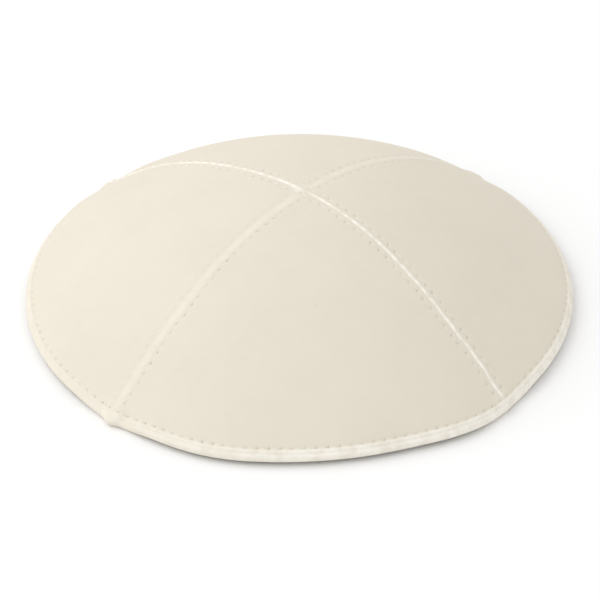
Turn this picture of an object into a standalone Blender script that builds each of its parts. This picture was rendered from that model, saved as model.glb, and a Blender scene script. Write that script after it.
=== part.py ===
"""A four-panel leather kippah, standing on the rolled edge of its hem.

The cap is four leather gores that meet at the crown. Each gore's side edges are pressed
back under it as seam allowances, and its lower edge is turned up inside as a hem, so the
wall is one layer of leather over most of a gore and two layers along its borders.

Frame: +Z up, the rim on Z = 0, the crown on the Z axis, one panel facing -Y.
"""

import math

import bmesh
import bpy

# Driving dimensions, in metres and radians.
RIM_RADIUS = 0.087
CROWN_HEIGHT = 0.041
RIM_SLOPE = math.radians(42.5)
LEATHER = 0.001
HEM_DEPTH = 0.009
SEAM_ALLOWANCE = 0.005
SEAM_GAP = 0.0004

# Rolled edge at the foot of the hem.
ROLL_RADIUS = 0.0025
ROLL_STEPS = 3
FOOT_HEIGHT = 0.0008
FOOT_BEVEL = 0.0005

# Four flat pieces of leather give a slightly square dome with a crease at each seam:
# a panel's middle lies inside the mean circle by this share of its radius, and its
# seams lie as far outside it.
SQUARENESS_MIDWAY = 0.009
SQUARENESS_AT_RIM = 0.003

PANEL_AZIMUTHS = {
    "panel_front": math.radians(-90),
    "panel_right": math.radians(0),
    "panel_back": math.radians(90),
    "panel_left": math.radians(180),
}
PANEL_HALF_ANGLE = math.pi / len(PANEL_AZIMUTHS)

# Mesh density of one gore, and the width over which two layers drop to one.
DOME_ROWS = 11
HEM_ROWS = 2
INNER_COLUMNS = 6
ALLOWANCE_COLUMNS = 2
HALF_COLUMNS = INNER_COLUMNS + 1 + ALLOWANCE_COLUMNS
LAYER_STEP = 0.0003
MERGE_DISTANCE = 0.00002

# Near its tip a gore is too narrow for whole allowances, so they take up at most
# these shares of its half width, first the allowance and then its step.
TIP_ALLOWANCE_SHARE = 0.35
TIP_STEP_SHARE = 0.09

LEATHER_COLOR = (0.83, 0.78, 0.68, 1)
LEATHER_ROUGHNESS = 0.9

COLLECTION = "leather_kippah"
LAYER_GROUP = "double_layer"

# The dome meets the roll where the wall has reached RIM_SLOPE.
DOME_RADIUS = RIM_RADIUS - ROLL_RADIUS * (1 - math.sin(RIM_SLOPE))
DOME_FOOT = FOOT_HEIGHT + ROLL_RADIUS * math.cos(RIM_SLOPE)
DOME_RISE = CROWN_HEIGHT - DOME_FOOT
STEEPENING = math.tan(RIM_SLOPE) * DOME_RADIUS / (2 * DOME_RISE) - 1


def clear_scene():
    """Remove whatever the start-up file put in the scene."""
    for thing in list(bpy.data.objects):
        bpy.data.objects.remove(thing, do_unlink=True)


def dome_height(share):
    """Height of the outer skin at a share of the dome's radius."""
    return DOME_FOOT + DOME_RISE * (1 - (1 - STEEPENING) * share ** 2 - STEEPENING * share ** 4)


def dome_row_shares():
    """Shares of the dome's radius for the rows, from its foot up to the tip of a gore."""
    slope_length = 1 / math.cos(RIM_SLOPE)
    roll_length = FOOT_HEIGHT + ROLL_RADIUS * (math.pi / 2 - RIM_SLOPE)
    hem_top = 1 - (HEM_DEPTH - roll_length) / slope_length / DOME_RADIUS
    above_hem = hem_top - LAYER_STEP / slope_length / DOME_RADIUS
    tip = SEAM_GAP / math.sqrt(2) / DOME_RADIUS
    hem_rows = [1 + (hem_top - 1) * row / HEM_ROWS for row in range(HEM_ROWS + 1)]
    crown_rows = [above_hem + (tip - above_hem) * row / DOME_ROWS for row in range(DOME_ROWS + 1)]
    return hem_rows + crown_rows


def meridian_rows():
    """Rows of the outer skin, rim to tip: radius, height, share of the radius, layers."""
    rows = [(RIM_RADIUS, 0, 1, 2)]
    for step in range(ROLL_STEPS):
        angle = math.pi / 2 - (math.pi / 2 - RIM_SLOPE) * step / ROLL_STEPS
        radius = RIM_RADIUS - ROLL_RADIUS * (1 - math.sin(angle))
        height = FOOT_HEIGHT + ROLL_RADIUS * math.cos(angle)
        rows.append((radius, height, 1, 2))
    for number, share in enumerate(dome_row_shares()):
        layers = 2 if number <= HEM_ROWS else 1
        rows.append((DOME_RADIUS * share, dome_height(share), share, layers))
    return rows


def column_angle(column, radius):
    """Angle from a gore's middle line to one of its columns, at a radius."""
    side = math.copysign(1, column)
    edge_angle = max(0, PANEL_HALF_ANGLE - math.asin(SEAM_GAP / 2 / radius))
    half_width = max(edge_angle * radius, SEAM_GAP)
    allowance = min(SEAM_ALLOWANCE / half_width, TIP_ALLOWANCE_SHARE)
    step = min(LAYER_STEP / half_width, TIP_STEP_SHARE)
    single = 1 - allowance - step
    offsets = [single * place / INNER_COLUMNS for place in range(INNER_COLUMNS + 1)]
    for place in range(ALLOWANCE_COLUMNS + 1):
        offsets.append(1 - allowance * (1 - place / ALLOWANCE_COLUMNS))
    return side * edge_angle * offsets[abs(column)]


def squareness(angle, share):
    """Factor on the radius that turns the round dome into four gores."""
    amount = 4 * share * (1 - share) * SQUARENESS_MIDWAY + share ** 4 * SQUARENESS_AT_RIM
    return 1 + amount * (2 * (angle / PANEL_HALF_ANGLE) ** 2 - 1)


def gore_skin(name, azimuth):
    """Open outer skin of one gore, weighted by where its wall is two layers thick."""
    rows = meridian_rows()
    columns = 2 * HALF_COLUMNS
    bm = bmesh.new()
    bmesh.ops.create_grid(bm, x_segments=columns, y_segments=len(rows) - 1, size=1)
    layer_weights = bm.verts.layers.deform.verify()
    for vert in bm.verts:
        column = round((vert.co.x + 1) / 2 * columns) - HALF_COLUMNS
        row = round((vert.co.y + 1) / 2 * (len(rows) - 1))
        radius, height, share, layers = rows[row]
        angle = column_angle(column, radius)
        radius *= squareness(angle, share)
        vert.co.x = radius * math.cos(azimuth + angle)
        vert.co.y = radius * math.sin(azimuth + angle)
        vert.co.z = height
        if abs(column) > INNER_COLUMNS:
            layers = 2
        vert[layer_weights][0] = layers / 2
    bmesh.ops.remove_doubles(bm, verts=bm.verts, dist=MERGE_DISTANCE)
    foot_weights = bm.edges.layers.float.new("bevel_weight_edge")
    for edge in bm.edges:
        if all(vert.co.z == 0 for vert in edge.verts):
            edge[foot_weights] = 1
    mesh = bpy.data.meshes.new(name)
    bm.to_mesh(mesh)
    bm.free()
    return mesh


def leather_material(name):
    """Matt ivory suede-finished leather."""
    material = bpy.data.materials.new(name)
    material.use_nodes = True
    shader = material.node_tree.nodes["Principled BSDF"]
    shader.inputs["Base Color"].default_value = LEATHER_COLOR
    shader.inputs["Roughness"].default_value = LEATHER_ROUGHNESS
    shader.inputs["Metallic"].default_value = 0
    return material


def add_gore(collection, name, azimuth):
    """One leather gore: its skin thickened inwards, with the hem's foot rounded."""
    mesh = gore_skin(name, azimuth)
    mesh.materials.append(leather_material(name + "_leather"))
    gore = bpy.data.objects.new(name, mesh)
    collection.objects.link(gore)
    gore.vertex_groups.new(name=LAYER_GROUP)

    wall = gore.modifiers.new("leather_wall", "SOLIDIFY")
    wall.thickness = 2 * LEATHER
    wall.offset = -1
    wall.use_even_offset = True
    wall.vertex_group = LAYER_GROUP

    foot = gore.modifiers.new("rounded_foot", "BEVEL")
    foot.limit_method = "WEIGHT"
    foot.width = FOOT_BEVEL
    foot.segments = 2
    mesh.shade_smooth()
    return gore


def build():
    """Build the cap's four gores in a collection of their own."""
    clear_scene()
    collection = bpy.data.collections.new(COLLECTION)
    bpy.context.scene.collection.children.link(collection)
    for name, azimuth in PANEL_AZIMUTHS.items():
        add_gore(collection, name, azimuth)


build()
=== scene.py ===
"""An ivory suede kippah: four gores, the topstitching of their seams, and the hem's stitching.

The leather's folds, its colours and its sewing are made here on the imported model, in metres.
"""

import math

import bmesh
import bpy
import numpy as np
from mathutils import Matrix, Vector


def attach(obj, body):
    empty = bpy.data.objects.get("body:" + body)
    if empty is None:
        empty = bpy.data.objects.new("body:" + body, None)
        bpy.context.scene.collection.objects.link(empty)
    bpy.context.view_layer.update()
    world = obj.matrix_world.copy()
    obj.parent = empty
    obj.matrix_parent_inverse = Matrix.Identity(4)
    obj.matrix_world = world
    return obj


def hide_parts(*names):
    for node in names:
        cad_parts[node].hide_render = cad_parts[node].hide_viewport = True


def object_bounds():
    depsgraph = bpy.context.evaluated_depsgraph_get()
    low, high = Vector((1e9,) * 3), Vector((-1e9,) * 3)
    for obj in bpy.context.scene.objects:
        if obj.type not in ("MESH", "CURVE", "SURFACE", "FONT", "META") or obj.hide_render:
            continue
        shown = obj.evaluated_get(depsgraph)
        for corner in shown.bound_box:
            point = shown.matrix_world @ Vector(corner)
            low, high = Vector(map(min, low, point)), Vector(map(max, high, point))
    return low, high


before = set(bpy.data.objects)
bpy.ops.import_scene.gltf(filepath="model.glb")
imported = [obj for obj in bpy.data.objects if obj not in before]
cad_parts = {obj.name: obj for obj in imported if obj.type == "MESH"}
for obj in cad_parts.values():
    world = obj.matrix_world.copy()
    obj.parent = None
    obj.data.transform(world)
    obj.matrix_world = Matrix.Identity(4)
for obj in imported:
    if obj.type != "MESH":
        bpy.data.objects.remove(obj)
cad_low, cad_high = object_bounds()


# ---------------------------------------------------------------------------------------
# The four gores. Each is one piece of drum-dyed lamb suede, 1 mm thick, cut as a curved
# triangle. Its side edges are folded under and pressed open along the seams, its lower
# edge is turned up inside as the hem, and the four points meet at the crown.

MM = 0.001

# What the cap's shape is worked out from.
RIM_SQUARENESS = 0.003
MIDWAY_SQUARENESS = 0.009
RIDGE_ALLOWANCE = 0.9 * MM
rim_radius = cad_high.x / (1 - RIM_SQUARENESS)
crown_height = cad_high.z - RIDGE_ALLOWANCE
RIM_SLOPE = math.radians(42.5)
HEM_BEAD_RADIUS = 1.8 * MM
LEATHER = 1.0 * MM
GORE_HALF_ANGLE = math.pi / 4
JOINT_GAP = 0.012 * MM
# How far the crown leans to the right.
CROWN_DRIFT = 1.8 * MM
# Where a seam was sewn a little askew, nearer the middle of the front: azimuth and turn.
# The leather beside the seam goes along, less and less up to the reach.
SEAM_DRIFTS = ((math.radians(-135), math.radians(2.2)), (math.radians(-45), math.radians(-1.5)))
SEAM_DRIFT_REACH = math.radians(38)
# How far a seam wanders to the side along its length, and the lengths of its two waves.
SEAM_WOBBLE = 0.15 * MM
WOBBLE_WAVES = (3.7 * MM, 1.1 * MM)
# A soft hollow in the right gore, beside its front seam, and a small raised speck in the
# front gore: middle seen from above, half width and depth.
HOLLOWS = (
    (51.5 * MM, -39.5 * MM, 3.0 * MM, 0.35 * MM),
    (1.6 * MM, -45.8 * MM, 0.65 * MM, -0.24 * MM),
)
# Where the worn rim has spread, and where a thick seam end juts out: azimuth, half
# width, how far outwards, and the share of the cap's height at which it has faded.
RIM_SPREADS = (
    (math.radians(-111), math.radians(15), 1.8 * MM, 0.5),
    (math.radians(-55), math.radians(10), 2.1 * MM, 0.5),
    (math.radians(-135), math.radians(1.5), 1.2 * MM, 0.12),
)
# Between the thick seam ends, which touch the table, the rim stands this far clear of it.
RIM_LIFT = 1.1 * MM

# Where the two layers are, and where they are sewn.
HEM_DEPTH = 9.0 * MM
HEM_STITCH_RISE = 3.85 * MM
SEAM_STITCH_OFFSET = 2.05 * MM
STITCH_PITCH = 3.55 * MM

GORES = {
    "gore_front": ("panel_front", math.radians(-90)),
    "gore_right": ("panel_right", math.radians(0)),
    "gore_back": ("panel_back", math.radians(90)),
    "gore_left": ("panel_left", math.radians(180)),
}


def long_seam_on_plus_side(azimuth):
    """Whether a gore has the long seam on its plus side, as the front and back ones have."""
    return round(math.degrees(azimuth)) in (-90, 90)


def smooth_step(low, high, value):
    """0 below low, 1 above high, and an even curve between them."""
    share = np.clip((value - low) / (high - low), 0, 1)
    return share * share * (3 - 2 * share)


# Points of the line, more of them towards the hem, and the height over which the bead's
# half thickness runs out into one layer.
LINE_POINTS = 900
LINE_CROWDING = 1.3
BEAD_RUNOUT = 2.6 * MM


def leather_line():
    """The line between the two layers, from the hem's fold up to the crown.

    Columns: length along it, radius, height, the outward normal's two parts, the share
    of the dome's radius, and how far below the outer skin the line runs.
    """
    dome_radius = rim_radius - HEM_BEAD_RADIUS * (1 - math.sin(RIM_SLOPE))
    dome_foot = HEM_BEAD_RADIUS * (1 + math.cos(RIM_SLOPE))
    dome_rise = crown_height - dome_foot
    steepening = math.tan(RIM_SLOPE) * dome_radius / (2 * dome_rise) - 1

    share = 1 - np.linspace(0, 1, LINE_POINTS) ** LINE_CROWDING
    height = dome_foot + dome_rise * (1 - (1 - steepening) * share ** 2 - steepening * share ** 4)
    fall = 2 * (1 - steepening) * share + 4 * steepening * share ** 3
    tilt = np.arctan(fall * dome_rise / dome_radius)
    up_from_bead = (1 - share) * dome_radius / math.cos(RIM_SLOPE)
    depth = LEATHER + (HEM_BEAD_RADIUS - LEATHER) * (1 - smooth_step(0, BEAD_RUNOUT, up_from_bead))
    dome = np.stack([dome_radius * share - depth * np.sin(tilt),
                     height - depth * np.cos(tilt), tilt, share, depth], axis=1)

    # The turned-up leather makes a rounded bead at the foot, whose tip ends the line.
    tip = dome[0].copy()
    tip[0] += HEM_BEAD_RADIUS * math.cos(RIM_SLOPE)
    tip[1] -= HEM_BEAD_RADIUS * math.sin(RIM_SLOPE)
    line = np.vstack([tip, dome])
    line[-1, 0] = 0
    steps = np.hypot(np.diff(line[:, 0]), np.diff(line[:, 1]))
    length = np.concatenate([[0], np.cumsum(steps)])
    return np.column_stack([length, line[:, 0], line[:, 1], np.sin(line[:, 2]),
                            np.cos(line[:, 2]), line[:, 3], line[:, 4]])


line = leather_line()
gore_length = line[-1, 0]


def swell(value, centre, width):
    """A soft bump, 1 at centre."""
    return np.exp(-((value - centre) / width) ** 2)


# The raised strip over a seam's two layers, and where its edge falls away. Then, each with
# its height or depth and its width: the ridge of the folded edges when it stands sharp or
# lies flat, the groove that the thread pulls, and the rounding at the joint.
STRIP_HEIGHT = 0.10 * MM
STRIP_EDGE = (2.5 * MM, 7.0 * MM)
SHARP_RIDGE = (0.27 * MM, 0.33 * MM)
FLAT_RIDGE = (0.05 * MM, 0.9 * MM)
THREAD_GROOVE = (0.04 * MM, 0.45 * MM)
JOINT_ROUNDING = (0.04 * MM, 0.12 * MM)


def seam_relief(distance, sharp):
    """How far the sewn leather stands out at a distance from the joint.

    sharp is how much of a fine ridge the folded edges make: about 0.5 to 1.2 along the
    long seam, and 0 on the seam that it crosses, where they lie flatter.
    """
    strip = STRIP_HEIGHT * (1 - smooth_step(*STRIP_EDGE, distance))
    fine = SHARP_RIDGE[0] * swell(distance, 0, SHARP_RIDGE[1])
    broad = FLAT_RIDGE[0] * swell(distance, 0, FLAT_RIDGE[1])
    groove = THREAD_GROOVE[0] * swell(distance, SEAM_STITCH_OFFSET, THREAD_GROOVE[1])
    rounded = JOINT_ROUNDING[0] * (1 - smooth_step(JOINT_GAP, JOINT_ROUNDING[1], distance))
    return strip + broad + (fine - broad) * sharp - groove - rounded


# Mean share of the long seam's ridge that stands, how much of it comes and goes from
# stitch to stitch, how much along the whole seam, and the second one's wave.
RIDGE_SHARE = 0.86
RIDGE_PULL = 0.22
RIDGE_UNEVENNESS = 0.14
RIDGE_WAVE = 2.3 * MM


def ridge_share(rise):
    """How much of the long seam's ridge stands, which is less where the thread pulls."""
    between_holes = -np.cos(2 * math.pi * ((gore_length - rise) / STITCH_PITCH - 0.5))
    return RIDGE_SHARE + RIDGE_PULL * between_holes + RIDGE_UNEVENNESS * np.sin(rise / RIDGE_WAVE)


# The puff of leather below the hem's stitches, the crease below that and the groove along
# the stitches: height or depth, rise up the leather, and width. Then the turned-up leaf.
HEM_PUFF = (0.24 * MM, 2.95 * MM, 0.50 * MM)
HEM_CREASE = (0.20 * MM, 1.95 * MM, 0.34 * MM)
HEM_GROOVE = (0.10 * MM, HEM_STITCH_RISE, 0.45 * MM)
LEAF_HEIGHT = 0.08 * MM
LEAF_EDGE = (6.5 * MM, 12 * MM)


def hem_relief(rise):
    """How far the hem stands out at a height up the leather from its fold."""
    puff, crease, groove = (amount * swell(rise, middle, width)
                            for amount, middle, width in (HEM_PUFF, HEM_CREASE, HEM_GROOVE))
    leaf = LEAF_HEIGHT * (1 - smooth_step(*LEAF_EDGE, rise))
    return puff - crease - groove + leaf


# The slow waves of the leather above the hem: their height, the lengths of the straight
# and of the slanting ones, and the slanting ones' share. Then the shares of the cap's
# height and of its radius over which the waves and the seams' wandering set in.
WAVE_HEIGHT = 0.22 * MM
STRAIGHT_WAVES = (15 * MM, 19 * MM)
SLANTING_WAVES = (27 * MM, 11 * MM)
SLANTING_SHARE = 0.6
WAVES_SET_IN = (0.1, 0.45)
WANDERING_SETS_IN = (0.2, 0.7)
# Degrees from a seam's end over which the rim rises off the table, and the share of the
# cap's height at which that has evened out.
LIFT_REACH = (1.5, 12)
LIFT_FADED = 0.5
# The share of the cap's height up to which a spread of the rim is whole.
SPREAD_FADES_FROM = 0.05


def settle(points):
    """The small unevenness of a soft cap that lies by itself on a table."""
    x, y, z = points[:, 0], points[:, 1], points[:, 2]
    height = z / crown_height
    straight = np.sin(x / STRAIGHT_WAVES[0] + 0.8) * np.cos(y / STRAIGHT_WAVES[1] - 0.5)
    slanting = np.sin(x / SLANTING_WAVES[0] - y / SLANTING_WAVES[1])
    waves = straight + SLANTING_SHARE * slanting
    waves = WAVE_HEIGHT * waves * smooth_step(*WAVES_SET_IN, height)

    # Seams that wander a little to the side.
    radius = np.hypot(x, y)
    around = np.arctan2(y, x)
    outward = smooth_step(*WANDERING_SETS_IN, radius / rim_radius)
    wobble = np.sin(radius / WOBBLE_WAVES[0]) + 0.8 * np.sin(radius / WOBBLE_WAVES[1])
    turn = outward * SEAM_WOBBLE * wobble / (radius + MM)
    for seam_azimuth, drift in SEAM_DRIFTS:
        from_seam = np.abs(around - seam_azimuth) / SEAM_DRIFT_REACH
        turn = turn + drift * outward * (1 - smooth_step(0, 1, from_seam))

    spread = sum(amount * swell(around, centre, width)
                 * (1 - smooth_step(SPREAD_FADES_FROM, faded, height))
                 for centre, width, amount, faded in RIM_SPREADS)
    wider = 1 + spread / rim_radius
    x, y = x * wider, y * wider
    from_end = np.abs(np.abs(np.degrees(around)) % 90 - 45)
    lift = RIM_LIFT * smooth_step(*LIFT_REACH, from_end) * (1 - smooth_step(0, LIFT_FADED, height))
    hollow = sum(deepest * swell(np.hypot(x - across, y - forward), 0, width)
                 for across, forward, width, deepest in HOLLOWS)
    moved = points.copy()
    moved[:, 0] = x * np.cos(turn) - y * np.sin(turn) + CROWN_DRIFT * height ** 2
    moved[:, 1] = x * np.sin(turn) + y * np.cos(turn)
    moved[:, 2] = z + lift - hollow + waves
    return moved


# At a seam's end the layers are doubled again and make a nub: how far it reaches from the
# joint and up the leather, and how thick it is outside and inside.
NUB_WIDTH = (2.0 * MM, 4.2 * MM)
NUB_RISE = (4 * MM, 7 * MM)
NUB_OUTSIDE = 0.6 * MM
NUB_INSIDE = 0.5 * MM
NUB_CLEAR_OF_BEAD = (2.2 * MM, 4.0 * MM)
# The thick knot of folded points at the crown: height, and radius where it fades.
KNOT_HEIGHT = 0.06 * MM
KNOT_EDGE = (1 * MM, 6 * MM)
# Where the relief starts above the hem's fold, and where a seam's relief does.
RELIEF_SETS_IN = 1.6 * MM
SEAM_SETS_IN = (1.5 * MM, 5.5 * MM)
# The grooves that the thread pulls on the under side.
UNDER_GROOVE = (0.08 * MM, 0.5 * MM)


def skin(azimuth, rise, angle, face):
    """Points and outward normals of one gore.

    rise is the length up the leather from the hem's fold, angle is measured from the
    gore's middle line, and face is 1 for the outer side, 0 for the line between the
    layers and -1 for the under side of the folded layer.
    """
    radius, height, out, up, share, depth = (np.interp(rise, line[:, 0], line[:, column])
                                             for column in range(1, 7))
    amount = 4 * share * (1 - share) * MIDWAY_SQUARENESS + share ** 4 * RIM_SQUARENESS
    radius = radius * (1 + amount * (2 * (angle / GORE_HALF_ANGLE) ** 2 - 1))
    plus = radius * np.sin(GORE_HALF_ANGLE - angle)
    minus = radius * np.sin(GORE_HALF_ANGLE + angle)
    joint = np.minimum(plus, minus)

    ridge = ridge_share(rise)
    long_on_plus = long_seam_on_plus_side(azimuth)
    relief = np.maximum(seam_relief(plus, ridge if long_on_plus else 0),
                        seam_relief(minus, 0 if long_on_plus else ridge))
    relief = relief * smooth_step(*SEAM_SETS_IN, rise) + hem_relief(rise)
    knot = KNOT_HEIGHT * (1 - smooth_step(*KNOT_EDGE, radius))
    raised = (relief + knot) * smooth_step(0, RELIEF_SETS_IN, rise)
    nub = (1 - smooth_step(*NUB_WIDTH, joint)) * (1 - smooth_step(*NUB_RISE, rise))
    pulled = UNDER_GROOVE[0] * (swell(joint, SEAM_STITCH_OFFSET, UNDER_GROOVE[1])
                                + swell(rise, HEM_STITCH_RISE, UNDER_GROOVE[1]))
    cap = np.clip(rise / HEM_BEAD_RADIUS, 0, 1)
    fold = np.sqrt(1 - (1 - cap) ** 2)
    outer = (depth + raised + NUB_OUTSIDE * nub) * fold
    under = (depth + NUB_INSIDE * nub * smooth_step(*NUB_CLEAR_OF_BEAD, rise) - pulled) * fold
    offset = np.where(face > 0, outer, np.where(face < 0, -under, 0))
    along = azimuth + angle
    normal = np.stack([out * np.cos(along), out * np.sin(along), up], axis=1)
    ground = np.stack([radius * np.cos(along), radius * np.sin(along), height], axis=1)
    return settle(ground + normal * offset[:, None]), normal


# Needle holes, as (rise, angle) on a gore: a row beside each of its seams and one round
# the hem. The long seam runs over the crown, and the other seam's rows stop at it. Hand
# feeding makes both the pitch and the distance from the joint a little uneven. No hole is
# made where a gore's half angle is narrower than the least angle, in radians.
FEED_UNEVENNESS = 0.06
PITCH_TURN = 2.4
OFFSET_TURN = 1.7
LEAST_ANGLE = 0.02


def seam_holes(side, over_crown):
    """Rise and angle of the holes on one side of a gore."""
    number = 0 if over_crown else 1
    holes = []
    while gore_length - (number + 0.5) * STITCH_PITCH > HEM_STITCH_RISE + STITCH_PITCH / 2:
        feed = number + 0.5 + FEED_UNEVENNESS * math.sin(PITCH_TURN * number)
        rise = gore_length - feed * STITCH_PITCH
        radius = np.interp(rise, line[:, 0], line[:, 1])
        from_joint = SEAM_STITCH_OFFSET * (1 + FEED_UNEVENNESS * math.sin(OFFSET_TURN * number))
        holes.append((rise, side * (GORE_HALF_ANGLE - math.asin(min(1, from_joint / radius)))))
        number += 1
    return np.array([hole for hole in holes if abs(hole[1]) > LEAST_ANGLE])


rim_arc = 2 * GORE_HALF_ANGLE * rim_radius
hem_count = round(rim_arc / STITCH_PITCH)
hem_angles = (np.arange(hem_count) + 0.5 - hem_count / 2) * 2 * GORE_HALF_ANGLE / hem_count
hem_holes = np.column_stack([np.full(hem_count, HEM_STITCH_RISE), hem_angles])

# Rows and columns of a gore's mesh: close together at the folds, cut edges and needle
# holes, and wide apart on the plain leather between them.
HOLE_STEPS = np.array([-0.62, -0.3, 0, 0.3, 0.62, 1.77]) * MM
HEM_ROWS = np.array([0, 0.02, 0.08, 0.18, 0.34, 0.55, 0.8, 1.1, 1.45, 1.75, 2.0, 2.25, 2.6, 2.95,
                     3.25, 3.55, 3.85, 4.15, 4.5, 5.0]) * MM
TIP_ROWS = np.array([0.9, 0.5, 0.25, 0.03, math.sqrt(2) * JOINT_GAP / MM]) * MM
SEAM_COLUMNS = np.array([0.012, 0.012, 0.06, 0.15, 0.28, 0.42, 0.62, 0.9, 1.2, 1.5, 1.78, 2.05, 2.32,
                         2.62, 3.1, 3.8, 4.6, 4.68, 4.95, 5.3, 5.65, 6.2, 7.0]) * MM
LAST_DOUBLE_COLUMN = 16
# The shortest step between rows, the plain stretch at a gore's tip, and the sheer step at
# the hem's cut edge.
LEAST_STEP = 0.3 * MM
PLAIN_TIP = 1.2 * MM
CUT_EDGE = 0.08 * MM


def gore_rows():
    """Rises of the mesh rows, from the fold to the tip, and the last row of the hem."""
    number = np.arange(int(gore_length / STITCH_PITCH))
    holes = gore_length - (number + 0.5) * STITCH_PITCH
    rows = (holes[:, None] + HOLE_STEPS[None, :]).ravel()
    rows = rows[(rows > HEM_ROWS[-1] + LEAST_STEP) & (rows < gore_length - PLAIN_TIP)]
    rows = rows[np.abs(rows - HEM_DEPTH) > LEAST_STEP]
    edge = [HEM_DEPTH, HEM_DEPTH + CUT_EDGE]
    rows = np.sort(np.concatenate([HEM_ROWS, rows, edge, gore_length - TIP_ROWS]))
    return rows, int(np.searchsorted(rows, HEM_DEPTH + CUT_EDGE / 2)) - 1


# Columns nearer the middle line than this are left to the mirrored half, and columns at
# these shares from the strip or the middle line would lie too close to their neighbour.
MIDDLE_CLEARANCE = 0.4 * MM
FIRST_SHARE = 0.008
LAST_SHARE = 0.995


def half_columns():
    """Shares of the way from the seam strip to a gore's middle, at the rim."""
    middle = rim_radius * math.sin(GORE_HALF_ANGLE)
    strip = SEAM_COLUMNS[-1]
    steps = (hem_angles[:, None] * rim_radius + HOLE_STEPS[None, :]) / rim_radius
    steps = steps[steps < -MIDDLE_CLEARANCE / rim_radius]
    distance = rim_radius * np.sin(GORE_HALF_ANGLE - np.abs(steps))
    shares = (distance - strip) / (middle - strip)
    shares = np.sort(shares[shares > FIRST_SHARE])
    return np.concatenate([shares[shares < LAST_SHARE], [1.0]])


rows, last_hem_row = gore_rows()
inner_shares = half_columns()
column_count = 2 * (len(SEAM_COLUMNS) + len(inner_shares)) - 1
middle_column = column_count // 2


# Near the tip the seam strip's columns take up at most this share of the half width.
STRIP_SHARE = 0.75


def gore_angles(rise, column):
    """Angle from a gore's middle line, for mesh rows and columns."""
    radius = np.interp(rise, line[:, 0], line[:, 1])
    middle = radius * math.sin(GORE_HALF_ANGLE)
    from_edge = np.minimum(column, column_count - 1 - column)
    strip = SEAM_COLUMNS[-1]
    squeeze = np.minimum(1, STRIP_SHARE * middle / strip)
    widths = np.concatenate([SEAM_COLUMNS, np.zeros(len(inner_shares))])
    shares = np.concatenate([np.zeros(len(SEAM_COLUMNS)), inner_shares])
    distance = widths[from_edge] * squeeze
    inner = strip * squeeze + (middle - strip * squeeze) * shares[from_edge]
    distance = np.where(from_edge < len(SEAM_COLUMNS), distance, inner)
    distance = np.clip(distance, np.minimum(JOINT_GAP, middle), middle)
    angle = GORE_HALF_ANGLE - np.arcsin(np.clip(distance / radius, 0, math.sin(GORE_HALF_ANGLE)))
    return np.where(column < middle_column, -angle, angle)


def deselect_all():
    """Leave nothing selected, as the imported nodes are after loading."""
    for thing in bpy.context.selected_objects:
        thing.select_set(False)


def activate(thing):
    """Make one object the only selected one."""
    deselect_all()
    thing.select_set(True)
    bpy.context.view_layer.objects.active = thing


# How pale the leather is made, from 0 to 1: the hem up to its stitches, where a reflection of
# the white floor is painted, and the ridges of the long seam, rubbed and with a painted
# highlight, and of the flatter one, with a painted highlight, with their widths. The ridges'
# paleness fades at the hem and at the crown. The under side is hardly rubbed. Where the
# hem's painted reflection is most and least: azimuth, and how much that adds or takes away.
HEM_PAINTED_REFLECTION = 0.42
MOST_REFLECTION = (math.radians(-60), 0.65)
LEAST_REFLECTION = (math.radians(-155), 0.6)
HEM_REFLECTION_EDGE = (3.0 * MM, 3.9 * MM)
RIDGE_WEAR_AND_HIGHLIGHT_WIDTH = 0.48 * MM
FLAT_RIDGE_HIGHLIGHT = 0.3
FLAT_RIDGE_HIGHLIGHT_WIDTH = 0.8 * MM
RIDGE_WEAR_AND_HIGHLIGHT_SETS_IN = (2.5 * MM, 6.0 * MM)
CROWN_WEAR_AND_HIGHLIGHT = 0.75
CROWN_EDGE = (0.3 * MM, 1.5 * MM)
UNDER_WEAR = 0.15


def rim_painted_reflection(around):
    """How strong the hem's painted reflection of the floor is at an azimuth: most at the front
    right, least at the left.
    """
    most = np.clip(np.cos(around - MOST_REFLECTION[0]), 0, 1) ** 2
    least = np.clip(np.cos(around - LEAST_REFLECTION[0]), 0, 1) ** 4
    return HEM_PAINTED_REFLECTION * (1 + MOST_REFLECTION[1] * most - LEAST_REFLECTION[1] * least)


def ridge_wear_and_highlight(rise, joint, radius, on_long_seam):
    """How pale a seam's ridge is made: rubbed fibres and a painted highlight on the long seam, and a
    painted highlight on the flatter one.
    """
    height = np.where(on_long_seam, ridge_share(rise), FLAT_RIDGE_HIGHLIGHT)
    width = np.where(on_long_seam, RIDGE_WEAR_AND_HIGHLIGHT_WIDTH, FLAT_RIDGE_HIGHLIGHT_WIDTH)
    at_crown = CROWN_WEAR_AND_HIGHLIGHT + (1 - CROWN_WEAR_AND_HIGHLIGHT) * smooth_step(*CROWN_EDGE, radius)
    return height * swell(joint, 0, width) * smooth_step(*RIDGE_WEAR_AND_HIGHLIGHT_SETS_IN, rise) * at_crown


def add_values(mesh, name, values):
    """Give each point of a mesh a value that the leather's material reads."""
    layer = mesh.attributes.new(name, "FLOAT", "POINT")
    layer.data.foreach_set("value", values)


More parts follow.
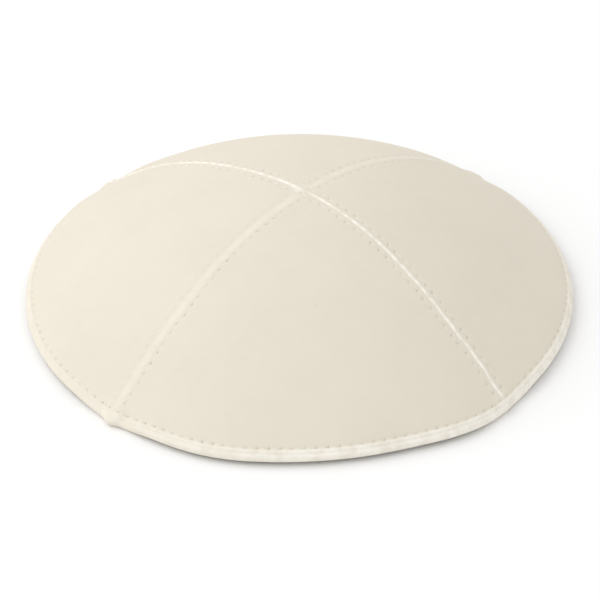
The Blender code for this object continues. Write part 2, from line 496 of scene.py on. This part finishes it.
def leather_side(name, azimuth, face):
    """One side of a gore: a grid whose points are laid on the leather's surface."""
    deselect_all()
    bpy.ops.mesh.primitive_grid_add(x_subdivisions=column_count - 1, y_subdivisions=len(rows) - 1,
                                    size=2)
    side = bpy.context.object
    side.name = name
    count = len(side.data.vertices)
    flat = np.empty(count * 3)
    side.data.vertices.foreach_get("co", flat)
    flat = flat.reshape(-1, 3)
    column = np.round((flat[:, 0] + 1) / 2 * (column_count - 1)).astype(int)
    row = np.round((flat[:, 1] + 1) / 2 * (len(rows) - 1)).astype(int)
    rise = rows[row]
    angle = gore_angles(rise, column)
    from_edge = np.minimum(column, column_count - 1 - column)
    border = (from_edge == 0) | (row == len(rows) - 1)
    if face > 0:
        layer = np.where(border, 0, 1)
    else:
        double = (from_edge <= LAST_DOUBLE_COLUMN) | (row <= last_hem_row)
        layer = np.where(border | ~double, 0, -1)
    points, normal = skin(azimuth, rise, angle, layer)
    if face > 0:
        sunk = needle_dents(azimuth, points, border)
        points = points - normal * sunk[:, None]
    side.data.vertices.foreach_set("co", points.ravel())

    radius = np.hypot(points[:, 0], points[:, 1])
    joint = radius * np.sin(GORE_HALF_ANGLE - np.abs(angle))
    on_long_seam = (angle > 0) == long_seam_on_plus_side(azimuth)
    # Paler ridges, rubbed and with a painted highlight, and along the hem a painted reflection of
    # the white floor.
    ridge = ridge_wear_and_highlight(rise, joint, radius, on_long_seam)
    hem_reflection = rim_painted_reflection(azimuth + angle) * (1 - smooth_step(*HEM_REFLECTION_EDGE, rise))
    add_values(side.data, "wear_and_painted_light", np.where(layer > 0, np.maximum(ridge, hem_reflection), UNDER_WEAR))
    add_values(side.data, "flesh", np.where((layer == 0) & (face < 0) & ~border, 1.0, 0.0))
    return side


# A dent at a needle hole: its mean depth, how much the depths differ and by what turn from
# hole to hole, and its width. The thread was drawn loosely along the left gore's front edge.
DENT_DEPTH = 0.38 * MM
DENT_UNEVENNESS = 0.12 * MM
DENT_TURN = 5.1
DENT_WIDTH = 0.28 * MM
LOOSE_TENSION = 0.4
LOOSE_AZIMUTH = GORES["gore_left"][1]


def needle_dents(azimuth, points, border):
    """How deep each point is drawn in by the holes near it."""
    long_on_plus = long_seam_on_plus_side(azimuth)
    plus_tension = LOOSE_TENSION if azimuth == LOOSE_AZIMUTH else 1
    rows_of_holes = ((seam_holes(1, long_on_plus), plus_tension),
                     (seam_holes(-1, not long_on_plus), 1), (hem_holes, 1))
    depth = np.zeros(len(points))
    for holes, tension in rows_of_holes:
        places, _ = skin(azimuth, holes[:, 0], holes[:, 1], np.ones(len(holes)))
        for number, place in enumerate(places):
            deepest = tension * (DENT_DEPTH + DENT_UNEVENNESS * math.sin(DENT_TURN * number))
            near = np.linalg.norm(points - place, axis=1)
            depth = np.maximum(depth, deepest * swell(near, 0, DENT_WIDTH))
    return np.where(border, 0, depth)


def srgb(code):
    """Linear colour of an sRGB hex value such as #F0E8D8."""
    parts = [int(code[place:place + 2], 16) / 255 for place in (1, 3, 5)]
    linear = [part / 12.92 if part <= 0.04045 else ((part + 0.055) / 1.055) ** 2.4 for part in parts]
    return (*linear, 1)


def add_node(tree, kind, links=None, **settings):
    """Add a node; links gives its inputs values or the sockets that feed them."""
    node = tree.nodes.new(kind)
    for key, value in settings.items():
        setattr(node, key, value)
    for key, value in (links or {}).items():
        if isinstance(value, bpy.types.NodeSocket):
            tree.links.new(value, node.inputs[key])
        else:
            node.inputs[key].default_value = value
    return node


SUEDE_SHADE = "#D9D2C3"
SUEDE_LIGHT = "#DCD5C6"
SUEDE_SPECK = "#DFD8CA"
# Pale ivory of rubbed fibres, also painted as the highlight on the seams' ridges and as the white
# floor's reflection on the hem.
SUEDE_WEAR_AND_PAINTED_LIGHT = "#F7F3EA"
FLESH_SIDE = "#D8D0BF"
# A Mix node's sockets for colours go by number.
FACTOR, COLOR_A, COLOR_B, MIXED_COLOR = 0, 6, 7, 2


def ivory_suede():
    """Drum-dyed lamb suede, buffed to a short nap: matt, warm ivory, faintly clouded where
    the nap lies another way, paler along the seams' ridges, where the fibres are rubbed
    and a highlight is painted, and paler along the hem, where a reflection of the white
    floor is painted."""
    material = bpy.data.materials.new("ivory_suede")
    material.use_nodes = True
    tree = material.node_tree
    shader = tree.nodes["Principled BSDF"]
    place = add_node(tree, "ShaderNodeTexCoord").outputs["Object"]

    # Clouding of the nap, in patches about 25 mm and 5 mm across.
    cloud = add_node(tree, "ShaderNodeTexNoise", {"Vector": place, "Scale": 40, "Detail": 3})
    patch = add_node(tree, "ShaderNodeTexNoise", {"Vector": place, "Scale": 210, "Detail": 4})
    # The grain is about 0.1 mm on the leather; it is drawn 0.5 mm across so that it shows.
    grain = add_node(tree, "ShaderNodeTexNoise",
                     {"Vector": place, "Scale": 2000, "Detail": 3, "Roughness": 0.6})
    pores = add_node(tree, "ShaderNodeTexVoronoi", {"Vector": place, "Scale": 1100})

    # Base colour: two close ivories by patch, with paler specks.
    cloud_share = add_node(tree, "ShaderNodeMapRange",
                           {"Value": cloud.outputs[0], "From Min": 0.3, "From Max": 0.7})
    body = add_node(tree, "ShaderNodeMix", {FACTOR: cloud_share.outputs[0],
                                            COLOR_A: srgb(SUEDE_SHADE),
                                            COLOR_B: srgb(SUEDE_LIGHT)}, data_type="RGBA")
    speck_share = add_node(tree, "ShaderNodeMapRange",
                           {"Value": patch.outputs[0], "From Min": 0.35, "From Max": 0.75,
                            "To Min": 0.0, "To Max": 0.35})
    specked = add_node(tree, "ShaderNodeMix", {FACTOR: speck_share.outputs[0],
                                               COLOR_A: body.outputs[MIXED_COLOR],
                                               COLOR_B: srgb(SUEDE_SPECK)}, data_type="RGBA")

    # The paler ridges and hem, unevenly pale in patches about 3 mm across, and the flesh side.
    #     # The ridges are rubbed and carry a painted highlight; the hem carries a painted
    #     # reflection of the white floor.
    wear_and_painted_light = add_node(tree, "ShaderNodeAttribute", attribute_name="wear_and_painted_light")
    patchiness = add_node(tree, "ShaderNodeTexNoise", {"Vector": place, "Scale": 330, "Detail": 2})
    patchy_share = add_node(tree, "ShaderNodeMapRange",
                          {"Value": patchiness.outputs[0], "From Min": 0.35, "From Max": 0.6,
                           "To Min": 0.55, "To Max": 1.1})
    uneven = add_node(tree, "ShaderNodeMath", {0: wear_and_painted_light.outputs["Fac"], 1: patchy_share.outputs[0]},
                      operation="MULTIPLY")
    wear_and_light_mix = add_node(tree, "ShaderNodeMix", {FACTOR: uneven.outputs[0],
                                              COLOR_A: specked.outputs[MIXED_COLOR],
                                              COLOR_B: srgb(SUEDE_WEAR_AND_PAINTED_LIGHT)}, data_type="RGBA")
    flesh = add_node(tree, "ShaderNodeAttribute", attribute_name="flesh")
    final = add_node(tree, "ShaderNodeMix", {FACTOR: flesh.outputs["Fac"],
                                             COLOR_A: wear_and_light_mix.outputs[MIXED_COLOR],
                                             COLOR_B: srgb(FLESH_SIDE)}, data_type="RGBA")
    tree.links.new(final.outputs[MIXED_COLOR], shader.inputs["Base Color"])

    # Nap: a fine grain over shallow pores, coarser on the flesh side.
    rough_grain = add_node(tree, "ShaderNodeMath", {0: flesh.outputs["Fac"], 1: 1.2, 2: 1.0},
                           operation="MULTIPLY_ADD")
    height = add_node(tree, "ShaderNodeMath", {0: grain.outputs[0], 1: rough_grain.outputs[0]},
                      operation="MULTIPLY")
    both = add_node(tree, "ShaderNodeMath", {0: pores.outputs[0], 1: 0.35, 2: height.outputs[0]},
                    operation="MULTIPLY_ADD")
    bump = add_node(tree, "ShaderNodeBump", {"Strength": 0.35, "Distance": 0.12 * MM,
                                             "Height": both.outputs[0]})
    tree.links.new(bump.outputs[0], shader.inputs["Normal"])
    shader.inputs["Roughness"].default_value = 0.92
    shader.inputs["IOR"].default_value = 1.45
    shader.inputs["Specular IOR Level"].default_value = 0.25
    shader.inputs["Sheen Weight"].default_value = 0.12
    shader.inputs["Sheen Roughness"].default_value = 0.5
    shader.inputs["Sheen Tint"].default_value = srgb("#FFF6E6")
    return material


suede = ivory_suede()


WELD_DISTANCE = 0.001 * MM

for gore_name, (panel, azimuth) in GORES.items():
    under = leather_side(gore_name + "_under", azimuth, -1)
    under.data.flip_normals()
    gore = leather_side(gore_name, azimuth, 1)
    activate(gore)
    under.select_set(True)
    bpy.ops.object.join()
    bpy.ops.object.mode_set(mode="EDIT")
    bpy.ops.mesh.select_all(action="SELECT")
    bpy.ops.mesh.remove_doubles(threshold=WELD_DISTANCE)
    bpy.ops.object.mode_set(mode="OBJECT")
    bpy.ops.object.shade_smooth()
    gore.data.materials.append(suede)
    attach(gore, "root")
    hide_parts(panel)


# ---------------------------------------------------------------------------------------
# Seam topstitching. Two rows of ivory bonded thread hold each seam's pressed-open edges
# down, one row on each side of the joint. A stitch dives into a needle hole at each end
# and shows on both faces of the leather, as a lockstitch does.

THREAD_RADIUS = 0.15 * MM
# The thread's colour, and a darker one painted as the shade between its plies.
THREAD_COLOR = "#E6E0D2"
THREAD_SHADE = "#D8D1C2"
# A stitch reaches a little past its holes' middles and dives into them; between them it is
# pressed a little into the leather. Its ends are thinner than its middle, it is flatter
# than wide, and its dive starts at a share of its half length.
STITCH_LENGTH = STITCH_PITCH + 0.05 * MM
STITCH_DIVE = 0.42 * MM
STITCH_BED = 0.06 * MM
STITCH_THINNING = 0.25
STITCH_FLATNESS = 0.9
DIVE_FROM = 0.80
DIVE_STEEPNESS = 1.3
STITCH_SIDES = 7
STITCH_CUTS = (-0.48, -0.455, -0.425, -0.38, -0.2, 0, 0.2, 0.38, 0.425, 0.455, 0.48)


def ivory_thread():
    """Bonded polyester thread: smoother and a little brighter than the nap round it, with
    painted light and shade along its twist and a faint sheen."""
    material = bpy.data.materials.new("ivory_thread")
    material.use_nodes = True
    tree = material.node_tree
    shader = tree.nodes["Principled BSDF"]
    place = add_node(tree, "ShaderNodeTexCoord").outputs["UV"]
    # Real plies turn about once in 1 mm. Their light and shade are painted as one light and
    #     # one dark slanting band to a stitch, because finer ones wouldn't show.
    turned = add_node(tree, "ShaderNodeMapping", {"Vector": place, "Scale": (1, 4, 1)})
    ply = add_node(tree, "ShaderNodeTexWave", {"Vector": turned.outputs[0], "Scale": 0.32},
                   wave_type="BANDS", bands_direction="DIAGONAL")
    shade = add_node(tree, "ShaderNodeMix", {FACTOR: ply.outputs["Fac"],
                                             COLOR_A: srgb(THREAD_SHADE),
                                             COLOR_B: srgb(THREAD_COLOR)}, data_type="RGBA")
    tree.links.new(shade.outputs[MIXED_COLOR], shader.inputs["Base Color"])
    bump = add_node(tree, "ShaderNodeBump", {"Strength": 0.5, "Distance": 0.05 * MM,
                                             "Height": ply.outputs["Fac"]})
    tree.links.new(bump.outputs[0], shader.inputs["Normal"])
    shader.inputs["Roughness"].default_value = 0.55
    shader.inputs["IOR"].default_value = 1.5
    shader.inputs["Sheen Weight"].default_value = 0.1
    return material


def one_stitch():
    """One stitch along X, centred on the origin, bedded in the plane Z = 0.

    It is plump in its middle, and its ends thin out and dive into the needle holes.
    """
    deselect_all()
    bpy.ops.mesh.primitive_cylinder_add(vertices=STITCH_SIDES, radius=THREAD_RADIUS,
                                        depth=STITCH_LENGTH, end_fill_type="TRIFAN",
                                        rotation=(0, math.pi / 2, 0))
    stitch = bpy.context.object
    bpy.ops.object.transform_apply(location=False, rotation=True, scale=False)
    bpy.ops.object.mode_set(mode="EDIT")
    for share in STITCH_CUTS:
        bpy.ops.mesh.select_all(action="SELECT")
        bpy.ops.mesh.bisect(plane_co=(share * STITCH_LENGTH, 0, 0), plane_no=(1, 0, 0))
    bpy.ops.object.mode_set(mode="OBJECT")
    for vert in stitch.data.vertices:
        share = abs(vert.co.x) / (STITCH_LENGTH / 2)
        plump = 1 - STITCH_THINNING * share ** 4
        dive = STITCH_DIVE * smooth_step(DIVE_FROM, 1.0, share) ** DIVE_STEEPNESS
        vert.co.y *= plump
        vert.co.z = vert.co.z * plump * STITCH_FLATNESS - STITCH_BED - dive
    bpy.ops.object.shade_smooth()
    return stitch


thread = ivory_thread()
stitch_pattern = one_stitch()


def stitch_frames(azimuth, holes, face):
    """Matrices that lay the pattern stitch between each two holes, on one face."""
    places, normals = skin(azimuth, holes[:, 0], holes[:, 1], np.full(len(holes), face))
    frames = []
    for number in range(len(places) - 1):
        start, end = Vector(places[number]), Vector(places[number + 1])
        along = (end - start).normalized()
        up = Vector(normals[number] + normals[number + 1]).normalized() * face
        across = up.cross(along).normalized()
        up = along.cross(across)
        turn = Matrix((along, across, up)).transposed().to_4x4()
        stretch = Matrix.Scale((end - start).length / STITCH_PITCH, 4, Vector((1, 0, 0)))
        frames.append(Matrix.Translation((start + end) / 2) @ turn @ stretch)
    return frames


def sewn_row(name, frames):
    """A row of stitches: the pattern stitch copied to every place, as one piece."""
    bm = bmesh.new()
    for place in frames:
        copy = stitch_pattern.data.copy()
        copy.transform(place)
        bm.from_mesh(copy)
        bpy.data.meshes.remove(copy)
    mesh = bpy.data.meshes.new(name)
    bm.to_mesh(mesh)
    bm.free()
    mesh.materials.append(thread)
    row = bpy.data.objects.new(name, mesh)
    bpy.context.scene.collection.objects.link(row)
    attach(row, "root")
    return row


# A seam's rows: gore, side of the gore, and whether the row runs over the crown.
SEAMS = {
    "topstitch_front_right": (("gore_front", 1, True), ("gore_right", -1, True)),
    "topstitch_back_right": (("gore_right", 1, False), ("gore_back", -1, False)),
    "topstitch_back_left": (("gore_back", 1, True), ("gore_left", -1, True)),
    "topstitch_front_left": (("gore_left", 1, False), ("gore_front", -1, False)),
}
for seam_name, sides in SEAMS.items():
    frames = []
    for gore_name, side, over_crown in sides:
        azimuth = GORES[gore_name][1]
        for face in (1, -1):
            frames += stitch_frames(azimuth, seam_holes(side, over_crown), face)
    sewn_row(seam_name, frames)


# ---------------------------------------------------------------------------------------
# Hem topstitching. One row of the same thread runs round the cap, a little under 4 mm
# above the fold, and holds the turned-up hem. A stitch crosses each seam's end.

hem_step = hem_angles[1] - hem_angles[0]
hem_run = np.append(hem_angles, hem_angles[-1] + hem_step)
for gore_name, (_, azimuth) in GORES.items():
    holes = np.column_stack([np.full(len(hem_run), HEM_STITCH_RISE), hem_run])
    frames = stitch_frames(azimuth, holes, 1) + stitch_frames(azimuth, holes, -1)
    sewn_row(gore_name.replace("gore", "hem_stitch"), frames)
bpy.data.objects.remove(stitch_pattern)


# ---------------------------------------------------------------------------------------
# The studio: a white paper sweep, soft light all round, and one large soft light above
# and to the left of the cap.

FLOOR_SIZE = 6
PAPER_WHITE = (0.9, 0.9, 0.9, 1)
SKY_STRENGTH = 0.92

deselect_all()
bpy.ops.mesh.primitive_plane_add(size=FLOOR_SIZE, location=(0, 0, 0))
floor = bpy.context.object
floor.name = "floor"
paper = bpy.data.materials.new("white_sweep")
paper.use_nodes = True
paper_shader = paper.node_tree.nodes["Principled BSDF"]
paper_shader.inputs["Base Color"].default_value = PAPER_WHITE
paper_shader.inputs["Roughness"].default_value = 1
paper_shader.inputs["Specular IOR Level"].default_value = 0
floor.data.materials.append(paper)

room = bpy.data.worlds.new("studio")
bpy.context.scene.world = room
room.use_nodes = True
room.node_tree.nodes["Background"].inputs["Color"].default_value = (1, 1, 1, 1)
room.node_tree.nodes["Background"].inputs["Strength"].default_value = SKY_STRENGTH
bpy.context.scene.view_settings.view_transform = "Standard"

# The key light is a disk, in metres and watts.
KEY_SIZE = 1.9
KEY_POWER = 11
KEY_DISTANCE = 1.6
KEY_DIRECTION = Vector((-0.72, 0.02, 0.69)).normalized()
deselect_all()
bpy.ops.object.light_add(type="AREA", location=KEY_DIRECTION * KEY_DISTANCE)
key = bpy.context.object
key.name = "key_light"
key.data.shape = "DISK"
key.data.size = KEY_SIZE
key.data.energy = KEY_POWER
key.rotation_euler = KEY_DIRECTION.to_track_quat("Z", "Y").to_euler()

# The camera stands a little to the left and looks down at the front gore. Its lens and
# sensor are in millimetres.
CAMERA_DISTANCE = 12 * rim_radius
CAMERA_AZIMUTH = math.radians(-2.15)
CAMERA_ELEVATION = math.radians(35.74)
CAMERA_ROLL = math.radians(-0.29)
CAMERA_AIM = Vector((0.2, -0.9, -0.85)) * MM
CAMERA_LENS = 196.8
CAMERA_SENSOR = 36
CAMERA_REACH = 20
to_camera = Vector((math.sin(CAMERA_AZIMUTH) * math.cos(CAMERA_ELEVATION),
                    -math.cos(CAMERA_AZIMUTH) * math.cos(CAMERA_ELEVATION),
                    math.sin(CAMERA_ELEVATION)))
deselect_all()
bpy.ops.object.camera_add()
camera = bpy.context.object
camera.name = "camera"
camera.data.sensor_width = CAMERA_SENSOR
camera.data.lens = CAMERA_LENS
camera.data.clip_end = CAMERA_REACH
camera.matrix_world = (Matrix.Translation(CAMERA_AIM + to_camera * CAMERA_DISTANCE)
                       @ to_camera.to_track_quat("Z", "Y").to_matrix().to_4x4()
                       @ Matrix.Rotation(CAMERA_ROLL, 4, "Z"))
bpy.context.scene.camera = camera
